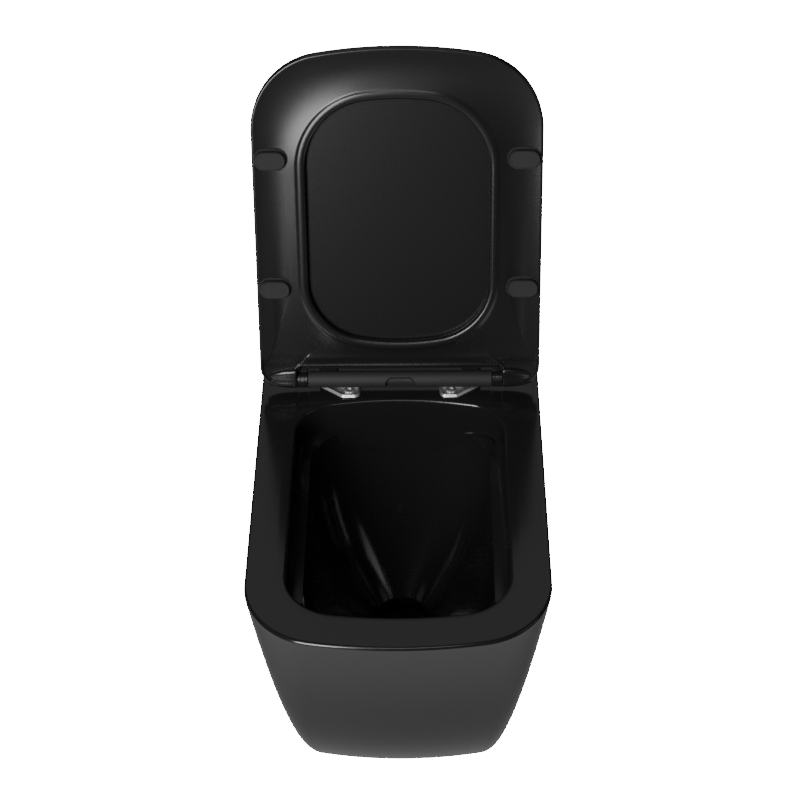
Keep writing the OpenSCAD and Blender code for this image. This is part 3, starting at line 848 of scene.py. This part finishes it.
def knuckle_rings(s):
    """Bullet on side s: rings along X at 131.5 mm + 40 mm * sin(a) whose radius is 11 mm * cos(a)^0.8,
    swollen towards the seat's underside by 0.8 * exp(-((b - 212) / 24)^2) of it, with b the angle in
    degrees."""
    a = np.radians(np.concatenate([[0, 0, 0.6, 1.6], np.linspace(4, 89, 26)]))
    size = 0.011 * np.cos(a) ** 0.8 * np.concatenate([[0.55, 0.93, 0.98], np.ones(27)])
    along = 0.1315 + 0.040 * np.sin(a)
    b = np.arange(96) / 96 * 360
    swell = 1 + 0.80 * np.exp(-(((b - 212) / 24) ** 2))
    turn = np.radians(b)
    ring = np.stack([0 * b, swell * np.cos(turn), swell * np.sin(turn)], axis=1)
    return ring[None] * size[:, None, None] + along[:, None, None] * np.array([s, 0, 0])


class PAN_OT_seat(bpy.types.Operator):
    """Builds the seat ring with its dished underside, bead, ears and bullet-shaped knuckles"""

    bl_idname = "pan.seat"
    bl_label = "Seat ring"

    def execute(self, context):
        made = [shell("seat_ring", raised(seat_rings()), wrap=True, poles=False)]
        for s in (-1, 1):
            made.append(shell("knuckle", raised(knuckle_rings(s))))
        dress(join("seat_ring", made), "black_thermoset", "seat_ring", "seat")
        return {"FINISHED"}


class PAN_OT_cover(bpy.types.Operator):
    """Builds the cover as a thin plate with softly rounded edges, its arms and knuckle rings"""

    bl_idname = "pan.cover"
    bl_label = "Cover"

    def execute(self, context):
        k = context.scene.pan_seat
        low = -k.under + k.thickness + k.cover_gap
        high = low + k.cover_thickness
        outer = rounded_outline(k.width / 2, -k.reach, -0.014, 0.095, 0.619, 0.008, 9.0, 40)
        normal = closed_normals(outer)
        middle = outer.mean(axis=0)
        inner = outer - normal * 0.0036
        shrunk = [middle + (inner - middle) * f for f in (0.12, 0.4, 0.7, 0.9)]
        rows = [lift(np.array(shrunk), np.full(4, high))]
        for d, z in self.edge(low, high):
            rows.append(level(outer - normal * d, z))
        rows.append(lift(np.array(shrunk[::-1]), np.full(4, low)))
        plate = shell("cover_plate", raised(np.concatenate(rows)))
        made = [plate]
        for s in (-1, 1):
            made.append(self.knuckle(s))
            made.append(self.arm(s, low, high))
        dress(join("cover", made), "black_thermoset", "cover", "lid")
        return {"FINISHED"}

    def edge(self, low, high):
        """(inset, height) down through the rounded shoulder and foot of the edge."""
        top, foot = 0.0036, 0.0014
        a = np.radians(np.linspace(0, 90, 9))
        for t in a:
            yield top * (1 - math.sin(t)), high - top * (1 - math.cos(t))
        for t in a:
            yield foot * (1 - math.cos(t)), low + foot * (1 - math.sin(t))

    def knuckle(self, s):
        """A ring on the hinge axis with softened ends and two fine grooves."""
        r, w = 0.0105, 0.0126
        half = [(0, 0.0061), (0, r - 0.0006), (0.0006, r), (0.0030, r), (0.0033, r - 0.0004)]
        half += [(0.0037, r - 0.0004), (0.0040, r)]
        prof = half + [(w - d, q) for d, q in half[::-1]]
        return shell(
            "cover_ring", raised(revolve(prof, (s * 0.1182, 0, 0), (s, 0, 0), 72)), wrap=True, poles=False
        )

    def arm(self, s, low, high):
        """A short bar from the knuckle to the plate, |x|^8 + |z|^8 in section."""
        n = 48
        t = np.arange(n) / n * TAU
        c, q = np.cos(t), np.sin(t)
        x = s * 0.1245 + 0.0062 * squared(c, 0.25)
        z = (low + high) / 2 + (high - low) / 2 * squared(q, 0.25)
        y = np.array([-0.0078, -0.012, -0.018])
        return shell("cover_arm", raised(
            np.stack([np.stack([x, np.full(n, v), z], axis=1) for v in y])
        ))


def oblong(half_l, half_w, n=16):
    """A stadium outline: two half circles of radius half_w joined by straights."""
    a = np.linspace(-np.pi / 2, np.pi / 2, n)
    right = np.stack([half_l - half_w + half_w * np.cos(a), half_w * np.sin(a)], axis=1)
    return np.concatenate([right, -right])


class PAN_OT_buffers(bpy.types.Operator):
    """Builds the seat's four oblong rubber buffers, each a domed pad on a low flange"""

    bl_idname = "pan.buffers"
    bl_label = "Seat buffers"

    def execute(self, context):
        k = context.scene.pan_seat
        base = -k.under + k.dish
        tip = RIM - AXIS[2] + 0.0003
        rows = [
            (0.0210, 0.0142, base + 0.0005), (0.0210, 0.0142, base - 0.0016), (0.0207, 0.0139, base - 0.0023),
            (0.0200, 0.0132, base - 0.0026), (0.0194, 0.0126, base - 0.0024), (0.0192, 0.0124, base - 0.0012),
            (0.0188, 0.0110, base - 0.0010), (0.0187, 0.0109, base - 0.0030), (0.0187, 0.0109, tip + 0.0014),
            (0.0184, 0.0106, tip + 0.0005), (0.0178, 0.0100, tip), (0.0174, 0.0096, tip + 0.0001),
            (0.0165, 0.0087, tip + 0.0003), (0.0110, 0.0032, tip + 0.0003),
        ]
        made = []
        for r in (0.128, 0.295):
            for s in (-1, 1):
                rings = np.stack([
                    np.concatenate([oblong(a, b) + np.array([s * 0.155, -r]), np.full((32, 1), z)], axis=1)
                    for a, b, z in rows
                ])
                made.append(shell("buffer", raised(rings)))
        dress(join("seat_buffers", made), "black_rubber", "seat_ring", "seat_buffers")
        return {"FINISHED"}


# ---- hinge bar, button, plates and bolts


class PAN_OT_hinge_bar(bpy.types.Operator):
    """Builds the hinge bar: a tube with softened ends, two feet behind it and the button's pocket"""

    bl_idname = "pan.hinge_bar"
    bl_label = "Hinge bar"

    def execute(self, context):
        lo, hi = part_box("hinge_bar")
        half, r = hi[0], 0.01075
        c = 0.0009
        prof = np.concatenate([
            arc_profile(-half, r - c, -half + c, r, 0), arc_profile(half - c, r, half, r - c, 1),
        ])
        bar = shell("bar", revolve(prof, AXIS, (1, 0, 0), 96))
        bores = [
            shell(
                "bore", revolve([(0, 0.0063), (0.07, 0.0063)], AXIS + np.array([s * 0.0495, 0, 0]), (s, 0, 0))
            )
            for s in (-1, 1)
        ]
        carve(bar, bores + [self.pocket()])
        feet = [self.foot(s, lo, hi) for s in (-1, 1)]
        dress(join("hinge_bar", [bar] + feet), "black_plastic", "pan_and_bar", "hinge_bar")
        return {"FINISHED"}

    def pocket(self):
        """The button's outline grown by 0.3 mm, cut into the bar's front."""
        plan = key_outline(0.0003, -0.0088)
        rings = [
            np.stack([plan[:, 0], np.full(len(plan), AXIS[1] + y), plan[:, 1] + AXIS[2]], axis=1)
            for y in (-0.013, 0.001)
        ]
        return shell("pocket", np.stack(rings))

    def foot(self, s, lo, hi):
        """A block behind the bar over a locating post, its plan |x / a|^6 + |y / b|^6 = 1."""
        x0 = s * 0.0920
        y0, y1 = AXIS[1] + 0.005, hi[1]
        n = 64
        t = np.arange(n) / n * TAU
        c, q = np.cos(t), np.sin(t)
        a, b = 0.012, (y1 - y0) / 2
        rows = []
        for grow, z in (
            (-0.0030, lo[2]), (-0.0006, lo[2]), (0, lo[2] + 0.0008), (0, AXIS[2] - 0.0005),
            (-0.0006, AXIS[2] + 0.0012), (-0.0018, AXIS[2] + 0.0022), (-0.0035, AXIS[2] + 0.0025),
        ):
            x = x0 + (a + grow) * squared(c, 1 / 3)
            y = (y0 + y1) / 2 + (b + grow) * squared(q, 1 / 3)
            rows.append(np.stack([x, y, np.full(n, z)], axis=1))
        return shell("foot", np.stack(rows))


def key_outline(grow, low):
    """The release key's outline in (x, z): straight below, with its upper corners cut back twice."""
    h = 0.0185 + grow
    right = [(h, low), (h, 0.003), (h - 0.0026, 0.0064 + grow), (h - 0.006, 0.008 + grow)]
    return np.array(right + [(-x, z) for x, z in right[::-1]])


class PAN_OT_button(bpy.types.Operator):
    """Builds the release key: it follows the bar's curve, with a raised brow round a hollowed face"""

    bl_idname = "pan.button"
    bl_label = "Release button"

    def execute(self, context):
        corner = key_outline(0.0, -0.0062)
        path = np.concatenate([
            np.linspace(corner[i], corner[(i + 1) % 8], 16, endpoint=False) for i in range(8)
        ])
        middle = path.mean(axis=0) - np.array([0, 0.001])
        brow = smooth(-0.001, 0.003, path[:, 1])
        rings = []
        for shrink, proud, sink in (
            (1.0, 0.0, 0.0062), (1.0, 0.0003, 0.0), (0.992, 0.0009, 0.0), (0.975, 0.0011, 0.0),
            (0.955, 0.0009, 0.0), (0.940, 0.0, 0.0), (0.925, -0.0015, 0.0), (0.915, -0.0028, 0.0),
            (0.85, -0.0030, 0.0), (0.5, -0.0028, 0.0),
        ):
            p = middle + (path - middle) * np.array([1 - (1 - shrink) * 0.62, shrink])
            radius = 0.01078 + proud * (brow if proud > 0 else 1.0)
            front = -np.sqrt(np.clip(radius**2 - p[:, 1] ** 2, 0, None))
            back = np.full(len(p), -0.0036)
            y = front if sink == 0 else back
            rings.append(np.stack([p[:, 0], AXIS[1] + y, p[:, 1] + AXIS[2]], axis=1))
        key = shell("release_button", np.stack(rings))
        dress(key, "black_plastic", "button", "release_button", degrees=50.0)
        return {"FINISHED"}


def plate_outline(grow, n=150):
    """The right base plate's outline: the hull of five discs, found as the disc that reaches furthest in each
    direction u, with the edge at centre + radius * u."""
    bolt_lo, bolt_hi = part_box("bolt_right")
    post_lo, post_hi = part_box("locating_posts")
    bolt = (bolt_lo[0] + bolt_hi[0]) / 2
    post = np.array([post_hi[0] - 0.004, (post_lo[1] + post_hi[1]) / 2])
    y = AXIS[1]
    centre = np.array([
        (bolt + 0.006, y - 0.0097), (bolt - 0.0065, y - 0.0097), (bolt - 0.0045, y + 0.0005),
        (post[0] + 0.004, y + 0.0085), post,
    ])
    radius = np.array([0.008, 0.008, 0.011, 0.008, 0.008]) + grow
    t = np.arange(n) / n * TAU
    u = np.stack([np.cos(t), np.sin(t)], axis=1)
    best = np.argmax(u @ centre.T + radius, axis=1)
    return centre[best] + radius[best, None] * u


class PAN_OT_plates(bpy.types.Operator):
    """Builds the two stainless base plates as shallow dishes with a sloped, rolled rim"""

    bl_idname = "pan.plates"
    bl_label = "Base plates"

    def execute(self, context):
        lo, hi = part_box("plate_right")
        z0, z1 = lo[2], hi[2]
        section = [
            (-0.0006, z0), (-0.0001, z0 + 0.0002), (0, z0 + 0.0006), (-0.0002, z0 + 0.0010),
            (-0.0008, z0 + 0.0015), (-0.0020, z1 - 0.0004), (-0.0023, z1 - 0.0001), (-0.0027, z1),
            (-0.0032, z1 - 0.0001), (-0.0034, z1 - 0.0005), (-0.0036, z0 + 0.0022),
            (-0.0041, z0 + 0.0014), (-0.0048, z0 + 0.0012), (-0.0060, z0 + 0.0012),
        ]
        shape = np.stack([
            np.concatenate([plate_outline(g), np.full((150, 1), z)], axis=1) for g, z in section
        ])
        for s, side in ((1, "right"), (-1, "left")):
            plate = shell("plate_" + side, shape * np.array([s, 1, 1]))
            dress(plate, "stainless", "pan_and_bar", "plate_" + side)
        return {"FINISHED"}


class PAN_OT_bolts(bpy.types.Operator):
    """Builds the two seat bolts: a fluted low head with a domed top over its shank"""

    bl_idname = "pan.bolts"
    bl_label = "Seat bolts"

    def execute(self, context):
        for side in ("left", "right"):
            lo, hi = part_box("bolt_" + side)
            centre = ((lo[0] + hi[0]) / 2, (lo[1] + hi[1]) / 2, 0)
            head = hi[2] - 0.0026
            prof = [(lo[2], 0.0026), (lo[2] + 0.0006, 0.003), (head, 0.003), (head, 0.0064)]
            prof += [(head + 0.0003, 0.0067), (head + 0.0012, 0.0067), (head + 0.0018, 0.0062)]
            prof += [(hi[2] - 0.0003, 0.0050), (hi[2], 0.0040), (hi[2], 0.0030), (hi[2] - 0.0018, 0.0028)]
            shape = revolve(prof, centre, (0, 0, 1), 112, flutes=14, flute_depth=0.035)
            dress(
                shell("bolt_" + side, shape), "stainless", side + "_bolt", "bolt_" + side
            )
        return {"FINISHED"}


class PAN_OT_inner_pieces(bpy.types.Operator):
    """Gives every CAD piece that stays its own finish"""

    bl_idname = "pan.inner_pieces"
    bl_label = "Inner pieces"

    def execute(self, context):
        slots = {p["node"]: p["material_slot"] for p in frame["record"]["subparts"]}
        for name, obj in frame["nodes"].items():
            for place in obj.material_slots:
                place.material = finish_of(slots[name])
        return {"FINISHED"}


# ---- stage


def area_light(name, place, target, size, power, size_y=None):
    data = bpy.data.lights.new(name, "AREA")
    data.shape = "RECTANGLE"
    data.size = size
    data.size_y = size_y or size
    data.energy = power
    obj = bpy.data.objects.new(name, data)
    bpy.context.scene.collection.objects.link(obj)
    obj.location = place
    obj.rotation_mode = "QUATERNION"
    obj.rotation_quaternion = (Vector(target) - Vector(place)).to_track_quat("-Z", "Y")
    return obj


class PAN_OT_stage(bpy.types.Operator):
    """Sets the floor, the soft lights, the world and the camera"""

    bl_idname = "pan.stage"
    bl_label = "Stage"

    def execute(self, context):
        st = context.scene.pan_studio
        self.floor(UNDER - st.floor_drop)
        self.world()
        area_light("key_left", (-0.92, -2.27, 1.42), (0, -0.05, 0.42), 0.9, 74, size_y=1.8)
        area_light("front_soft", (0.0, -1.7, 3.0), (0, -0.2, 0.1), 1.0, 8)
        area_light("fill_right", (1.9, -0.9, 1.2), (0, -0.25, 0.1), 1.0, 1.2)
        area_light("back_top", (0.0, 1.6, 1.9), (0, -0.3, 0.1), 2.0, 5)
        self.camera(st)
        return {"FINISHED"}

    def floor(self, z):
        """A disc that looks white to the camera. To all else it glows in a ring, strongest about 1.2 m out:
        painted light for the reflections, with a dim middle near the pan as painted shade."""
        n = 96
        t = np.arange(n) / n * TAU
        ring = np.stack([np.cos(t), np.sin(t), 0 * t], axis=1)
        rows = np.stack([ring * r + np.array([0, 0, z]) for r in (9.0, 3.0, 1.0, 0.3)])
        verts = np.concatenate([rows.reshape(-1, 3), [[0, 0, z]]])
        i = np.arange(n)
        middle = np.stack([3 * n + i, 3 * n + (i + 1) % n, np.full(n, 4 * n)], axis=1)
        floor = mesh_object("studio_floor", verts, grid_faces(4, n, False).tolist() + middle.tolist())
        mat, tree, shader, vec = material("studio_floor", bpy.context.scene.pan_finish.floor)
        fill(shader, {"Roughness": 0.9, "Specular IOR Level": 0.0, "Emission Color": (1, 1, 1, 1)})
        far = tree.nodes.new("ShaderNodeVectorMath")
        far.operation = "LENGTH"
        tree.links.new(vec, far.inputs[0])
        out = far.outputs["Value"]
        # painted light: the floor's glow ring seen in reflections, dimmed near the pan as painted shade
        ring = math_node(
            tree, "MULTIPLY", ease_node(tree, out, 1.3, 2.3, 1.0, FAR_GLOW),
            ease_node(tree, out, 0.62, 1.15, 0.12, 1.0),
        )
        seen = tree.nodes.new("ShaderNodeLightPath").outputs["Is Camera Ray"]
        total = math_node(tree, "ADD", ring, math_node(tree, "MULTIPLY", seen, WHITE))
        tree.links.new(total, shader.inputs["Emission Strength"])
        floor.data.materials.append(mat)

    def world(self):
        """White air to the camera, and nearly dark to all else."""
        world = bpy.data.worlds.new("studio_air")
        world.use_nodes = True
        tree = world.node_tree
        air = tree.nodes["Background"]
        air.inputs["Color"].default_value = (1, 1, 1, 1)
        seen = tree.nodes.new("ShaderNodeLightPath").outputs["Is Camera Ray"]
        strength = math_node(tree, "ADD", math_node(tree, "MULTIPLY", seen, WHITE), FAR_GLOW)
        tree.links.new(strength, air.inputs["Strength"])
        bpy.context.scene.world = world

    def camera(self, st):
        """Camera at aim + Rz(yaw) * distance * (0, -cos pitch, sin pitch),
        turned by Rz(yaw) Rx(90 - pitch) Rz(roll)."""
        data = bpy.data.cameras.new("camera")
        data.lens = st.lens
        data.sensor_width = 36.0
        data.clip_start, data.clip_end = 0.05, 60.0
        cam = bpy.data.objects.new("camera", data)
        bpy.context.scene.collection.objects.link(cam)
        yaw, pitch, roll = (math.radians(v) for v in (st.yaw, st.pitch, st.roll))
        turn = Matrix.Rotation(yaw, 4, "Z")
        aim = Vector((0, FRONT + st.aim, RIM))
        place = aim + turn @ Vector((0, -math.cos(pitch), math.sin(pitch))) * st.distance
        spin = turn @ Matrix.Rotation(math.pi / 2 - pitch, 4, "X") @ Matrix.Rotation(roll, 4, "Z")
        cam.matrix_world = Matrix.Translation(place) @ spin
        bpy.context.scene.camera = cam


# ---- panel and registration


OPERATORS = (
    PAN_OT_body,
    PAN_OT_seat,
    PAN_OT_cover,
    PAN_OT_buffers,
    PAN_OT_hinge_bar,
    PAN_OT_button,
    PAN_OT_plates,
    PAN_OT_bolts,
    PAN_OT_inner_pieces,
    PAN_OT_stage,
)


class PAN_PT_pieces(bpy.types.Panel):
    """Lists the sizes, the finishes and a button for each piece"""

    bl_label = "Toilet pan"
    bl_idname = "PAN_PT_pieces"
    bl_space_type = "VIEW_3D"
    bl_region_type = "UI"
    bl_category = "Pan"

    def draw(self, context):
        for group_name in GROUPS:
            settings = getattr(context.scene, group_name)
            box = self.layout.box()
            for key in settings.bl_rna.properties.keys():
                if key not in ("rna_type", "name"):
                    box.prop(settings, key)
        for operator in OPERATORS:
            self.layout.operator(operator.bl_idname)


def register():
    for cls in (*GROUPS.values(), *OPERATORS, PAN_PT_pieces):
        bpy.utils.register_class(cls)
    for name, cls in GROUPS.items():
        setattr(bpy.types.Scene, name, bpy.props.PointerProperty(type=cls))


def unregister():
    for name in GROUPS:
        delattr(bpy.types.Scene, name)
    for cls in reversed((*GROUPS.values(), *OPERATORS, PAN_PT_pieces)):
        bpy.utils.unregister_class(cls)


def main():
    register()
    for operator in OPERATORS:
        group, name = operator.bl_idname.split(".")
        getattr(getattr(bpy.ops, group), name)()


if __name__ == "__main__":
    main()
